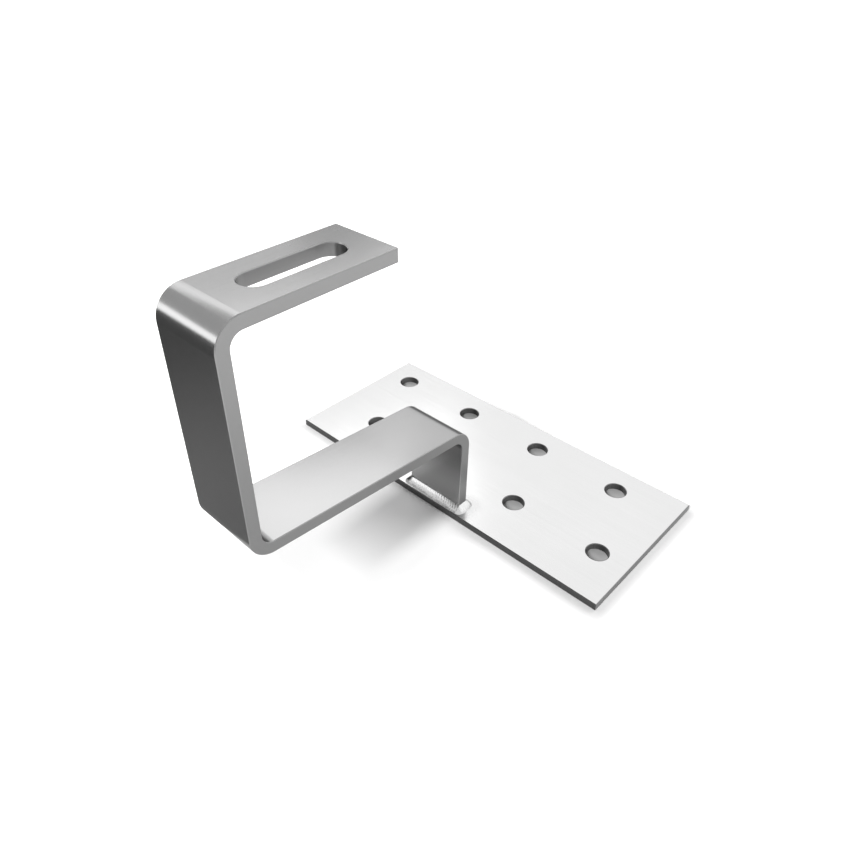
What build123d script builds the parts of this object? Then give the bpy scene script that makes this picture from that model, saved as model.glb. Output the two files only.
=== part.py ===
from build123d import *
import os
from math import cos, radians, tan

# Roof hook for a solar rail: a flat bar folded into a hook and welded upright on a drilled plate.
# Millimetres. The origin is the centre of the plate's underside, +X runs along the plate,
# +Y up the roof, away from the web, and +Z up from the roof.

# Base plate
plate_length = 180.0
plate_width = 80.0
plate_thickness = 3.5
plate_edge_break = 0.3

# Screw holes, in two rows that are shifted against each other along the plate
hole_diameter = 10.0
holes_per_row = 4
hole_end_distance = 15.0      # from a plate end to the nearest hole of the row shifted that way
row_shift = 15.0              # of one row against the other
upper_row_distance = 15.0     # from the plate's upper edge to its row
lower_row_distance = 25.0     # from the plate's lower edge to its row

# Flat bar that the hook is folded from
bar_width = 30.0
bar_thickness = 5.0
bend_radius = 5.0             # inside every bend
bar_edge_radius = 0.4         # rolled edges of the bar

# Folded shape of the hook
arm_clearance = 40.0          # from the plate up to the arm's underside, at the leg
arm_angle = 5.0               # that the arm climbs from the leg to the web
arm_reach = 112.5             # from the leg's outer face to the web's outer face
jaw_height = 80.0             # from the arm's top to the flange's underside, at the web
flange_length = 70.0          # from the web's outer face to the flange's end

# Slot for the rail bolt, along the middle of the flange
slot_width = 11.0
slot_end_distance = 10.0      # from the flange's end
slot_bend_distance = 10.0     # from the start of the bend
slot_edge_break = 0.3

# Fillet weld round the foot of the leg
weld_width = 3.0              # on the plate
weld_height = 2.8             # up the leg
weld_crown = 0.35             # of the bead over a flat face
weld_edge_margin = 0.5        # from the bead's toe to the plate's lower edge

# Places that follow from the sizes
outer_radius = bend_radius + bar_thickness
middle_radius = bend_radius + bar_thickness / 2
leg_inner_y = -plate_width / 2 + weld_edge_margin + weld_width
leg_y = leg_inner_y + bar_thickness / 2
leg_outer_y = leg_inner_y + bar_thickness
web_outer_y = leg_outer_y - arm_reach
web_y = web_outer_y + bar_thickness / 2
web_inner_y = web_outer_y + bar_thickness
flange_end_y = web_outer_y + flange_length

arm_slope = tan(radians(arm_angle))
arm_rise_of_thickness = bar_thickness / cos(radians(arm_angle))


def arm_underside_z(y):
    """Height of the arm's underside at a place along the roof."""
    return plate_thickness + arm_clearance + (leg_inner_y - y) * arm_slope


def arm_middle_z(y):
    """Height of the middle of the arm's thickness."""
    return arm_underside_z(y) + arm_rise_of_thickness / 2


flange_underside_z = arm_underside_z(web_inner_y) + arm_rise_of_thickness + jaw_height
flange_z = flange_underside_z + bar_thickness / 2
flange_top_z = flange_underside_z + bar_thickness

upper_row_y = plate_width / 2 - upper_row_distance
lower_row_y = -plate_width / 2 + lower_row_distance
hole_pitch = (plate_length - 2 * hole_end_distance - row_shift) / (holes_per_row - 1)
hole_rows = [(-row_shift / 2, upper_row_y), (row_shift / 2, lower_row_y)]

slot_outer_y = flange_end_y - slot_end_distance
slot_inner_y = web_outer_y + outer_radius + slot_bend_distance
slot_length = slot_outer_y - slot_inner_y
slot_y = (slot_outer_y + slot_inner_y) / 2

os.makedirs("parts", exist_ok=True)

# Base plate: a sheared rectangle with punched holes and its sharp rims broken
with BuildPart() as base_plate:
    with BuildSketch(Plane.XY):
        Rectangle(plate_length, plate_width)
        with Locations(*hole_rows):
            with GridLocations(hole_pitch, 0, holes_per_row, 1):
                Circle(hole_diameter / 2, mode=Mode.SUBTRACT)
    extrude(amount=plate_thickness)
    rims = base_plate.faces().filter_by(Axis.Z).edges()
    chamfer(rims, length=plate_edge_break)

base_plate.part.label = "base_plate"
export_step(base_plate.part, "parts/base_plate.step")

# Hook arm: the bar follows one middle line from the flange's end down to the foot of the leg
with BuildPart() as hook_arm:
    with BuildSketch(Plane.YZ):
        with BuildLine():
            FilletPolyline(
                (flange_end_y, flange_z),
                (web_y, flange_z),
                (web_y, arm_middle_z(web_y)),
                (leg_y, arm_middle_z(leg_y)),
                (leg_y, plate_thickness),
                radius=middle_radius,
            )
        trace(line_width=bar_thickness)
    extrude(amount=bar_width / 2, both=True)

    # Rolled edges, left sharp where the foot stands on the plate
    side_faces = hook_arm.faces().filter_by(Axis.X)
    foot_face = hook_arm.faces().sort_by(Axis.Z)[0]
    foot_edges = foot_face.edges()
    bar_edges = [edge for edge in side_faces.edges() if edge not in foot_edges]
    fillet(bar_edges, radius=bar_edge_radius)

    # Slot through the flange, with its rims broken
    with BuildSketch(Plane.XY.offset(flange_top_z)):
        with Locations((0, slot_y)):
            SlotOverall(slot_length, slot_width, rotation=90)
    extrude(amount=-bar_thickness, mode=Mode.SUBTRACT)
    flange_edges = hook_arm.faces().filter_by(Axis.Z).sort_by(Axis.Z)[-2:].edges()
    middle_edges = flange_edges.filter_by_position(Axis.X, -slot_width / 2, slot_width / 2)
    slot_rims = middle_edges.filter_by_position(Axis.Y, slot_inner_y, slot_outer_y)
    chamfer(slot_rims, length=slot_edge_break)

hook_arm.part.label = "hook_arm"
export_step(hook_arm.part, "parts/hook_arm.step")

# Foot weld: a crowned bead along each side of the leg, turned round each of its corners
bead_chord = (weld_width**2 + weld_height**2) ** 0.5
crown_out = weld_width / 2 + weld_crown * weld_height / bead_chord
crown_up = weld_height / 2 + weld_crown * weld_width / bead_chord
half_leg = [bar_width / 2, bar_thickness / 2]

with BuildPart() as foot_weld:
    with BuildSketch(Plane.XY.offset(plate_thickness)):
        with Locations((0, leg_y)):
            Rectangle(bar_width, bar_thickness)
    extrude(amount=weld_height)

    for turn in range(4):
        out = Vector(1, 0, 0).rotate(Axis.Z, 90 * turn)
        along = Vector(0, 1, 0).rotate(Axis.Z, 90 * turn)
        half_out = half_leg[turn % 2]
        half_along = half_leg[(turn + 1) % 2]
        side = Vector(0, leg_y, plate_thickness) + out * half_out
        corner = side + along * half_along
        for start, is_corner in [(side, False), (corner, True)]:
            with BuildSketch(Plane(origin=start, x_dir=out, z_dir=-along)):
                with BuildLine():
                    Line((0, weld_height), (0, 0))
                    Line((0, 0), (weld_width, 0))
                    ThreePointArc((weld_width, 0), (crown_out, crown_up), (0, weld_height))
                make_face()
            if is_corner:
                revolve(axis=Axis(corner, (0, 0, 1)), revolution_arc=90)
            else:
                extrude(amount=half_along, both=True)

    add(hook_arm.part, mode=Mode.SUBTRACT)

foot_weld.part.label = "foot_weld"
export_step(foot_weld.part, "parts/foot_weld.step")
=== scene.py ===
from math import acos, atan2, copysign, cos, hypot, pi, radians, sin, tan

import bmesh
import bpy
from mathutils import Matrix, Vector, noise


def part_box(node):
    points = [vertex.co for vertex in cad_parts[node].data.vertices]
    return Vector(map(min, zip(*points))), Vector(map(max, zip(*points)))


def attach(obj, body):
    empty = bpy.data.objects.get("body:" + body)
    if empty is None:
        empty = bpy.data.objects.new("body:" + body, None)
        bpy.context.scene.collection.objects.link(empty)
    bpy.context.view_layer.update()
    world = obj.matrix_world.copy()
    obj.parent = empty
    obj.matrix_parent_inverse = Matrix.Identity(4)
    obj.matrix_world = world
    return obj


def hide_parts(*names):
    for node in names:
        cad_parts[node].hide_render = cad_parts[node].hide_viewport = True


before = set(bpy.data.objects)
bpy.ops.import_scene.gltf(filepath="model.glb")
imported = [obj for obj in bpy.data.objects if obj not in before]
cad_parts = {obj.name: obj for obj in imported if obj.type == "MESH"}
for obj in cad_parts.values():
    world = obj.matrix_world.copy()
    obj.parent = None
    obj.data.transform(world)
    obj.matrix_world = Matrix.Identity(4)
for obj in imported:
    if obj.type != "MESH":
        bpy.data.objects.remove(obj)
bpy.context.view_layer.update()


# Base plate
# A rectangle sheared from cold-rolled stainless sheet, punched with two rows of screw holes.
# It lies on the rafter, and the leg of the hook is welded upright near its lower edge.

class Wire:
    """A socket in a node tree. Arithmetic on it adds Math nodes, and node() adds any other kind."""

    def __init__(self, tree, socket=None):
        self.tree = tree
        self.socket = socket

    def node(self, kind, settings=None, sockets=None, output=0):
        """Adds a node with its settings and its sockets' values or wires, and wires one output."""
        made = self.tree.nodes.new(kind)
        for name, value in (settings or {}).items():
            setattr(made, name, value)
        for name, value in (sockets or {}).items():
            socket = self.find(made.inputs, name)
            if isinstance(value, Wire):
                self.tree.links.new(value.socket, socket)
            else:
                socket.default_value = value
        return Wire(self.tree, self.find(made.outputs, output) if made.outputs else None)

    @staticmethod
    def find(sockets, name):
        """A node's socket by its number, its identifier or its name."""
        if isinstance(name, int):
            return sockets[name]
        for socket in sockets:
            if socket.identifier == name:
                return socket
        return sockets[name]

    def outputs(self, *names):
        """Other outputs of the node that this wire leaves."""
        return [Wire(self.tree, self.socket.node.outputs[name]) for name in names]

    def maths(self, operation, *terms):
        return self.node("ShaderNodeMath", {"operation": operation}, dict(enumerate(terms)))

    def __add__(self, other):
        return self.maths("ADD", self, other)

    __radd__ = __add__

    def __sub__(self, other):
        return self.maths("SUBTRACT", self, other)

    def __rsub__(self, other):
        return self.maths("SUBTRACT", other, self)

    def __mul__(self, other):
        return self.maths("MULTIPLY", self, other)

    __rmul__ = __mul__

    def __abs__(self):
        return self.maths("ABSOLUTE", self)

    def rise(self, low, high):
        """0 below low, 1 above high, and smooth between them."""
        ends = {"Value": self, "From Min": low, "From Max": high}
        return self.node("ShaderNodeMapRange", {"interpolation_type": "SMOOTHSTEP"}, ends)

    def vector(self, operation, other=(0.0, 0.0, 0.0), output="Vector"):
        """This vector put together with another one."""
        terms = {0: self, 1: other}
        return self.node("ShaderNodeVectorMath", {"operation": operation}, terms, output)

    def mix(self, first, second):
        """The first colour where this wire is 0 and the second where it is 1."""
        ends = {"Factor_Float": self, "A_Color": first, "B_Color": second}
        return self.node("ShaderNodeMix", {"data_type": "RGBA"}, ends, "Result_Color")

    def tint(self, colour):
        """A colour made lighter or darker by this wire, which is 1 where the colour stays."""
        settings = {"data_type": "RGBA", "blend_type": "MULTIPLY"}
        ends = {"Factor_Float": 1.0, "A_Color": colour, "B_Color": self}
        return self.node("ShaderNodeMix", settings, ends, "Result_Color")

    def grain(self, waves, detail=4.0, roughness=0.6):
        """Noise from 0 to 1 at a place, with its own number of waves a metre along each axis."""
        stretched = self.vector("MULTIPLY", waves)
        sockets = {"Vector": stretched, "Scale": 1.0, "Detail": detail, "Roughness": roughness}
        return self.node("ShaderNodeTexNoise", sockets=sockets, output="Fac")


def start_material(name):
    """A material with an empty node tree, and the tree's place in object space."""
    material = bpy.data.materials.new(name)
    material.use_nodes = True
    material.node_tree.nodes.clear()
    return material, Wire(material.node_tree).node("ShaderNodeTexCoord", output="Object")


def split(wire):
    """The three numbers of a vector."""
    return wire.node("ShaderNodeSeparateXYZ", sockets={"Vector": wire}).outputs("X", "Y", "Z")


def facing(place):
    """How far the surface faces +X, +Y and +Z, from -1 to 1."""
    return split(*place.outputs("Normal"))


def beyond(place, middle, half_size):
    """Distance in metres from a box, and 0 inside it."""
    past = place.vector("SUBTRACT", middle).vector("ABSOLUTE").vector("SUBTRACT", half_size)
    return past.vector("MAXIMUM").vector("LENGTH", output="Value")


def grey(level):
    return (level, level, level, 1.0)


def finish_metal(place, colour, roughness, height, depth, grazing_tint=1.0):
    """Ends a metal's tree with its colour, its roughness and a relief of that depth in metres.

    The grazing tint is how much of a mirror image is left where the metal is seen at a flat angle.
    """
    bump = {"Strength": 1.0, "Distance": depth, "Height": height}
    relief = place.node("ShaderNodeBump", sockets=bump)
    metal = {"Base Color": colour, "Metallic": 1.0, "Roughness": roughness, "Normal": relief}
    metal["Specular Tint"] = grey(grazing_tint)
    surface = place.node("ShaderNodeBsdfPrincipled", sockets=metal)
    place.node("ShaderNodeOutputMaterial", sockets={"Surface": surface})


def dress(piece, material):
    """Gives a whole piece one material."""
    piece.data.materials.clear()
    piece.data.materials.append(material)


plate_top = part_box("base_plate")[1].z
sheet_grey = 0.57
sheared_grey = 0.26
rolling_depth = 0.000003
steel_grazing_tint = 0.75

# Round the leg's foot the weld's heat dulled the sheet, and painted shade darkens it
bar_thickness = 0.005
leg_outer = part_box("hook_arm")[1]
leg_half_size = Vector((leg_outer.x, bar_thickness / 2, 0.0))
leg_foot = Vector((0.0, leg_outer.y - bar_thickness / 2, plate_top))
heat_and_shade_reach = (0.0035, 0.0100)

material, place = start_material("cold_rolled_sheet")
facing_end, _, facing_up = facing(place)
cut_edge = 1 - abs(facing_up).rise(0.75, 0.90)
clouds = place.grain((22.0, 22.0, 22.0), detail=3.0)
rolling = place.grain((9.0, 850.0, 60.0), detail=5.0, roughness=0.7)
speckle = place.grain((2600.0, 2600.0, 2600.0), detail=2.0)
shear_marks = place.grain((1500.0, 1500.0, 90.0), detail=3.0)
heat_dulled_and_shaded = 1 - beyond(place, leg_foot, leg_half_size).rise(*heat_and_shade_reach)

# Painted shade makes the sheared long sides darker than the short ones, and darkens the sheet round
# the leg's foot
sheet_tone = 0.92 + clouds * 0.07 + rolling * 0.09 - heat_dulled_and_shaded * 0.12
sheared_tone_and_painted_shade = (0.75 + shear_marks * 0.5) * (0.41 + abs(facing_end) * 0.62)
colour = cut_edge.mix(sheet_tone.tint(grey(sheet_grey)), sheared_tone_and_painted_shade.tint(grey(sheared_grey)))
roughness = 0.15 + clouds * 0.04 + rolling * 0.04 + cut_edge * 0.16 + heat_dulled_and_shaded * 0.10
relief = rolling * 0.6 + speckle * 0.4
finish_metal(place, colour, roughness, relief, rolling_depth, steel_grazing_tint)
dress(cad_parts["base_plate"], material)


# Hook arm
# Flat bar, folded three times into a hook. Its broad faces have a satin grain along the bar,
# and its narrow sides are rolled. The flange on top has a slot for the rail bolt.

bar_grey = 0.262
corner_shade_grey = 0.03
satin_depth = 0.000005

# The slot's wall, which the punch left duller, and which painted shade darkens
arm_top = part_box("hook_arm")[1].z
slot_middle = Vector((0.0, -0.104, arm_top - bar_thickness / 2))
slot_half_size = Vector((0.0060, 0.0206, 0.0021))
slot_wall_edge = (0.0, 0.0002)

# The lower bend: painted shade darkens its inside under the arm, and painted light brightens the
# arm's top beside it
bend_middle = Vector((0.0, -0.0415, 0.0383))
bend_half_size = Vector((leg_half_size.x, 0.0, 0.0))
bend_shade_reach = (0.0052, 0.0280)
top_light_reach = (0.0110, 0.0360)

# The leg's foot: painted light brightens it inside, and on the sides from just above the weld up
inside_light_reach = (0.0100, 0.0340)
side_light_start = (0.0040, 0.0140)
side_light_end = (0.0140, 0.0600)

# A near-black spot of painted shade where the weld starts, off the corner of the leg
spot_offset = 0.0007
spot_height = 0.0022
spot_x = -leg_half_size.x - spot_offset
spot_y = -leg_half_size.y - spot_offset
weld_start = leg_foot + Vector((spot_x, spot_y, spot_height))
corner_shade_reach = (0.0010, 0.0026)


def corner_painted_shade(place):
    """1 at the spot of painted shade where the weld starts, and 0 away from it."""
    return 1 - place.vector("DISTANCE", weld_start, "Value").rise(*corner_shade_reach)


material, place = start_material("satin_flat_bar")
facing_side, facing_up_roof, facing_up = facing(place)
narrow_side = abs(facing_side).rise(0.5, 0.8)
punch_dulled_and_shaded = 1 - beyond(place, slot_middle, slot_half_size).rise(*slot_wall_edge)

inner_face = (0 - facing_up_roof - facing_up).rise(0.2, 0.7)
from_bend = beyond(place, bend_middle, bend_half_size)
bend_painted_shade = inner_face * (1 - from_bend.rise(*bend_shade_reach))
top_painted_light = facing_up.rise(0.90, 0.98) * (1 - from_bend.rise(*top_light_reach))

from_foot = beyond(place, leg_foot, leg_half_size)
inside_painted_light = inner_face * (1 - from_foot.rise(*inside_light_reach))
side_painted_light = narrow_side * from_foot.rise(*side_light_start) * (1 - from_foot.rise(*side_light_end))

clouds = place.grain((26.0, 26.0, 26.0), detail=3.0)
brushing = place.grain((1400.0, 22.0, 22.0), detail=6.0, roughness=0.75)
rolled = place.grain((300.0, 300.0, 300.0), detail=4.0)

# Painted light brightens the arm's top by the bend, the leg's inside and its sides; painted shade
# darkens the bend's inside and the slot's wall
brightened = top_painted_light * 0.20 + narrow_side * 0.04 + side_painted_light * 0.22 + inside_painted_light * 0.55
darkened = punch_dulled_and_shaded * 0.10 + bend_painted_shade * 0.50
bar_tone = (0.91 + clouds * 0.06 + brushing * 0.14) * (1 + brightened - darkened)
colour = corner_painted_shade(place).mix(bar_tone.tint(grey(bar_grey)), grey(corner_shade_grey))
roughness = 0.13 + clouds * 0.05 + brushing * 0.08 + narrow_side * 0.20 + punch_dulled_and_shaded * 0.12
relief = brushing * (1 - narrow_side) + rolled * narrow_side
finish_metal(place, colour, roughness, relief, satin_depth, steel_grazing_tint)
dress(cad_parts["hook_arm"], material)


# Foot weld
# One bead laid by hand round the foot of the leg, along both broad faces and both narrow sides.
# Each pool of metal set as a curved ripple over the last, and the toe wanders on the plate.

weld_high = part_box("foot_weld")[1]
weld_width = weld_high.x - leg_half_size.x
weld_height = weld_high.z - plate_top
weld_crown = 0.0004           # of the bead over a flat face
weld_bite = 0.0004            # of the bead into the leg
end_sag = 0.0009              # that the bead lies lower beside the leg's narrow sides

ripple_pitch = 0.0014
ripple_height = 0.00005
ripple_sweep = 0.0010         # that a ripple's ends trail behind its middle
ripple_unevenness = 0.6       # of a pitch
unevenness_waves = 300.0      # a metre
toe_wander = 0.0003
wander_waves = 420.0          # a metre

step_length = ripple_pitch / 8
crown_steps = 16
corner_steps = 24
merge_distance = 0.000005
sharp_angle = 60

weld_grey = 0.62
skin_depth = 0.00002

# Its section, on the leg's lower face: from the toe over the crown to the leg, and back inside
toe = Vector((0.0, -weld_width, 0.0))
top = Vector((0.0, 0.0, weld_height))
outward = Vector((0.0, -weld_height, weld_width)).normalized()
half_chord = (top - toe).length / 2
crown_radius = (half_chord**2 + weld_crown**2) / (2 * weld_crown)
crown_centre = (toe + top) / 2 - outward * (crown_radius - weld_crown)
crown_angle = 2 * acos((crown_radius - weld_crown) / crown_radius)

bead = bmesh.new()
path = bead.verts.layers.float.new("path")
start = leg_foot - leg_half_size
first = bead.verts.new(start + toe)
crown = bmesh.ops.spin(bead, geom=[first], cent=start + crown_centre, axis=(-1, 0, 0),
                       angle=crown_angle, steps=crown_steps)
last = next(item for item in crown["geom_last"] if isinstance(item, bmesh.types.BMVert))
inner_top = bead.verts.new(last.co + Vector((0.0, weld_bite, 0.0)))
inner_foot = bead.verts.new(start + Vector((0.0, weld_bite, 0.0)))
for pair in [(last, inner_top), (inner_top, inner_foot), (inner_foot, first)]:
    bead.edges.new(pair)


def lay(section, laid, steps, length, turn):
    """Lays more bead on, in steps that each move or turn the section by the same matrix."""
    for _ in range(steps):
        grown = bmesh.ops.extrude_edge_only(bead, edges=section)["geom"]
        moved = [item for item in grown if isinstance(item, bmesh.types.BMVert)]
        section = [item for item in grown if isinstance(item, bmesh.types.BMEdge)]
        bmesh.ops.transform(bead, matrix=turn, verts=moved)
        laid += length / steps
        for vert in moved:
            vert[path] = laid
    return section, laid


def about(point, turn):
    """A turn about an upright line through a point."""
    return Matrix.Translation(point) @ Matrix.Rotation(turn, 4, "Z") @ Matrix.Translation(-point)


def noise_along(distance, waves, row):
    """Noise from -1 to 1 along the bead, with its number of waves a metre. Each row has its own."""
    return noise.noise(Vector((distance * waves, row, 0.0)))


def add_object(name, data):
    """Puts a mesh, a lamp or a camera into the scene."""
    made = bpy.data.objects.new(name, data)
    bpy.context.scene.collection.objects.link(made)
    return made


# Along each face of the leg, and round the corner at its end
section = list(bead.edges)
laid = 0.0
for along_x, along_y in [(1, 0), (0, 1), (-1, 0), (0, -1)]:
    along = Vector((along_x, along_y, 0.0))
    outside = Vector((along_y, -along_x, 0.0))
    side_length = 2 * abs(along.dot(leg_half_size))
    side_steps = round(side_length / step_length)
    onward = Matrix.Translation(along * side_length / side_steps)
    section, laid = lay(section, laid, side_steps, side_length, onward)
    reach = along + outside
    corner = leg_foot + Vector((reach.x * leg_half_size.x, reach.y * leg_half_size.y, 0.0))
    round_corner = about(corner, pi / 2 / corner_steps)
    section, laid = lay(section, laid, corner_steps, weld_width * pi / 4, round_corner)

bmesh.ops.remove_doubles(bead, verts=list(bead.verts), dist=merge_distance)
bmesh.ops.recalc_face_normals(bead, faces=list(bead.faces))
bead.normal_update()

# Ripples on the crown, a toe that wanders inwards, and the lower ends
for vert in bead.verts:
    local = vert.co - leg_foot
    beside_x = max(abs(local.x) - leg_half_size.x, 0.0)
    beside_y = max(abs(local.y) - leg_half_size.y, 0.0)
    if max(beside_x, beside_y) < merge_distance:
        continue
    away = Vector((copysign(beside_x, local.x), copysign(beside_y, local.y), 0.0)).normalized()
    climb = local.z / weld_height
    wander = noise_along(vert[path], wander_waves, row=0.5) / 2 - 0.5
    move = away * wander * toe_wander * (1 - climb)
    move.z -= end_sag * climb * min(beside_x / weld_height, 1.0)
    on_plate = climb < 0.01
    if not on_plate:
        uneven = ripple_unevenness * noise_along(vert[path], unevenness_waves, row=0.0)
        trail = ripple_sweep * (2 * climb - 1) ** 2
        wave = ((vert[path] + trail) / ripple_pitch + uneven) % 1.0
        move += vert.normal * (4 * wave * (1 - wave) - 1) * ripple_height
    vert.co += move

mesh = bpy.data.meshes.new("foot_bead")
bead.to_mesh(mesh)
bead.free()
mesh.polygons.foreach_set("use_smooth", [True] * len(mesh.polygons))
mesh.set_sharp_from_angle(angle=radians(sharp_angle))
foot_bead = add_object("foot_bead", mesh)

material, place = start_material("rippled_weld")
skin = place.grain((900.0, 900.0, 900.0), detail=4.0)
bead_tone = 0.80 + skin * 0.4
# The spot of painted shade darkens the bead too
colour = corner_painted_shade(place).mix(bead_tone.tint(grey(weld_grey)), grey(corner_shade_grey))
roughness = 0.22 + skin * 0.12
finish_metal(place, colour, roughness, skin, skin_depth)
dress(foot_bead, material)
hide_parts("foot_weld")
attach(foot_bead, "root")


# Floor and walls
# A pale floor that runs out past the picture and keeps the hook's shadow, and white walls.
# For the camera and the steel the floor also gives off light of its own, away from the shadow.

def add_sheet(name, width, depth, matrix):
    """A flat sheet of the studio, put in its place."""
    mesh = bpy.data.meshes.new(name)
    sheet = bmesh.new()
    bmesh.ops.create_grid(sheet, x_segments=1, y_segments=1, size=0.5)
    bmesh.ops.scale(sheet, verts=sheet.verts, vec=(width, depth, 1.0))
    bmesh.ops.transform(sheet, verts=sheet.verts, matrix=matrix)
    sheet.to_mesh(mesh)
    sheet.free()
    piece = add_object(name, mesh)
    return piece


def rays(wire):
    """1 for the rays of a camera, and 1 for those of a mirror or of glass."""
    ray = wire.node("ShaderNodeLightPath")
    seen, glossy, through = ray.outputs("Is Camera Ray", "Is Glossy Ray", "Is Transmission Ray")
    return seen, wire.maths("MAXIMUM", glossy, through)


floor_size = 8.0
floor_gap = 0.0001                              # below the plate, so that no two faces coincide
paint_grey = 0.97
# Painted shade: the floor is darker grey under the plate
under_plate_shade_grey = 0.44                              # under the plate, seen through its holes
ground_half_size = (0.0895, 0.0395, 0.0)
ground_edge = (0.0, 0.0005)

# The floor's own light comes on past the soft shadow and past the plate's edges
own_light = 0.5
shadow_middle = (-0.018, -0.072, 0.0)
shadow_edge = (0.036, 0.064)
behind_plate = (0.040, 0.046)
contact_middle = (0.0, -0.001, 0.0)
contact_half_size = (0.091, 0.041, 0.0)
contact_edge = (0.0, 0.010)
mirrored_edge = (0.120, 0.240)

floor = add_sheet("floor", floor_size, floor_size, Matrix.Translation((0.0, 0.0, -floor_gap)))
material, place = start_material("pale_floor")
_, up_roof, _ = split(place)
open_floor = beyond(place, (0.0, 0.0, 0.0), ground_half_size).rise(*ground_edge)
floor_colour = open_floor.mix(grey(under_plate_shade_grey), grey(paint_grey))
paint = place.node("ShaderNodeBsdfDiffuse", sockets={"Color": floor_colour})

seen, mirrored = rays(place)
from_shadow = place.vector("DISTANCE", shadow_middle, "Value")
from_plate = beyond(place, contact_middle, contact_half_size)
clear = place.maths("MAXIMUM", from_shadow.rise(*shadow_edge), up_roof.rise(*behind_plate))
lit = seen * clear * from_plate.rise(*contact_edge) + mirrored * from_shadow.rise(*mirrored_edge)
glow_colour = lit.mix(grey(0.0), grey(own_light))
glow = place.node("ShaderNodeEmission", sockets={"Color": glow_colour, "Strength": 1.0})
surface = place.node("ShaderNodeAddShader", sockets={0: paint, 1: glow})
place.node("ShaderNodeOutputMaterial", sockets={"Surface": surface})
dress(floor, material)

# The walls are white for the camera and the steel, and give next to no light themselves
world_light = 0.03
world = bpy.data.worlds.new("studio")
bpy.context.scene.world = world
world.use_nodes = True
world.node_tree.nodes.clear()
air = Wire(world.node_tree)
seen, mirrored = rays(air)
walls = {"Color": (seen + mirrored).mix(grey(world_light), grey(1.0)), "Strength": 1.0}
surface = air.node("ShaderNodeBackground", sockets=walls)
air.node("ShaderNodeOutputWorld", sockets={"Surface": surface})


# Lamps
# Flat softboxes on stands. Three stand far off, light the floor and cast the hook's shadow,
# and five stand where the steel mirrors them.

subject = Vector((0.0, -0.052, 0.06))           # the place in the hook that every lamp is turned to
far_off = 30.0


def add_lamp(name, azimuth, elevation, distance, width, height, brightness):
    """A flat lamp as wide and high, in degrees, as the hook sees it, and so many times white.

    Azimuth 0 is along +Y and 90 along +X.
    """
    lamp = bpy.data.lights.new(name, "AREA")
    lamp.shape = "RECTANGLE"
    lamp.size = 2 * distance * tan(radians(width / 2))
    lamp.size_y = 2 * distance * tan(radians(height / 2))
    lamp.energy = brightness * pi * lamp.size * lamp.size_y
    turn = radians(azimuth)
    climb = radians(elevation)
    direction = Vector((sin(turn) * cos(climb), cos(turn) * cos(climb), sin(climb)))
    holder = add_object(name, lamp)
    holder.location = subject + direction * distance
    holder.rotation_euler = direction.to_track_quat("Z", "Y").to_euler()
    return holder


# The steel doesn't mirror the floor's lamps
floor_lamps = [
    add_lamp("front_lamp", 175.3, 40.3, far_off, 8.0, 17.5, 60.0),
    add_lamp("back_lamp", 26.6, 26.5, far_off, 38.1, 51.2, 1.4),
    add_lamp("left_lamp", -90.0, 30.0, far_off, 69.2, 16.6, 3.0),
]
for holder in floor_lamps:
    holder.visible_glossy = False

# It mirrors these on the plate, on the hook's tops, on the weld and on the upper bend
add_lamp("back_softbox", 10.0, 40.2, 10.0, 100.0, 42.5, 0.50)
add_lamp("side_softbox", -67.7, 39.8, 0.68, 48.0, 10.2, 2.0)
add_lamp("low_softbox", -81.0, 27.5, 0.45, 38.0, 20.0, 0.48)
add_lamp("top_softbox", -92.0, 58.0, 1.5, 64.0, 18.0, 1.0)
add_lamp("strip_light", -122.0, 10.0, 3.0, 36.0, 13.0, 2.6)


# Dark cards
# Two sheets of dark cloth that only the steel sees. One leans up on the left, for the web and the
# upper bend, and one behind the plate, for the lower bend.

cloth_fade = (0.012, 0.055)                     # height over which a cloth changes its grey


def add_dark_card(name, foot, turn, length, rise, width, cloth_grey, top_grey=None):
    """A card that runs off from its foot, at a turn in degrees from +X, and rises on the way.

    Its cloth keeps one grey, or fades to the top grey.
    """
    slope = hypot(length, rise)
    lean = Matrix.Rotation(radians(turn), 4, "Z") @ Matrix.Rotation(-atan2(rise, length), 4, "Y")
    matrix = Matrix.Translation(foot) @ lean @ Matrix.Translation((slope / 2, 0.0, 0.0))
    card = add_sheet(name, slope, width, matrix)
    card.visible_camera = False
    card.visible_diffuse = False
    card.visible_shadow = False
    material, place = start_material(name + "_cloth")
    colour = grey(cloth_grey)
    if top_grey is not None:
        _, _, height = split(place)
        colour = height.rise(*cloth_fade).mix(colour, grey(top_grey))
    surface = place.node("ShaderNodeBsdfDiffuse", sockets={"Color": colour})
    place.node("ShaderNodeOutputMaterial", sockets={"Surface": surface})
    dress(card, material)


add_dark_card("left_card", foot=(-0.040, -0.160, 0.0), turn=206.6, length=0.33, rise=0.14,
              width=0.25, cloth_grey=0.47, top_grey=0.185)
add_dark_card("back_card", foot=(-0.071, 0.062, 0.0), turn=126.0, length=0.25, rise=0.11,
              width=0.16, cloth_grey=0.40)


# Camera
# Stands at the front right and looks down over the hook, at the photograph's own angle.
# Its lens and the middle of its picture were solved from the hook's straight edges.

picture_width = 850
focal_length = 723.232        # in the picture's pixels
centre_across = 410.191
centre_down = 417.34
camera_place = (0.166256, -0.227090, 0.234183)
camera_turn = 43.684          # in degrees from straight up the roof, towards the left
camera_tilt = 36.27           # in degrees below level

lens = bpy.data.cameras.new("camera")
lens.sensor_fit = "HORIZONTAL"
lens.sensor_width = 36.0
lens.lens = focal_length / picture_width * lens.sensor_width
lens.shift_x = (picture_width / 2 - centre_across) / picture_width
lens.shift_y = (centre_down - picture_width / 2) / picture_width
lens.clip_start = 0.01
lens.clip_end = 50.0
camera = add_object("camera", lens)
camera.location = camera_place
camera.rotation_euler = (radians(90 - camera_tilt), 0.0, radians(camera_turn))
bpy.context.scene.camera = camera
bpy.context.scene.view_settings.view_transform = "Standard"
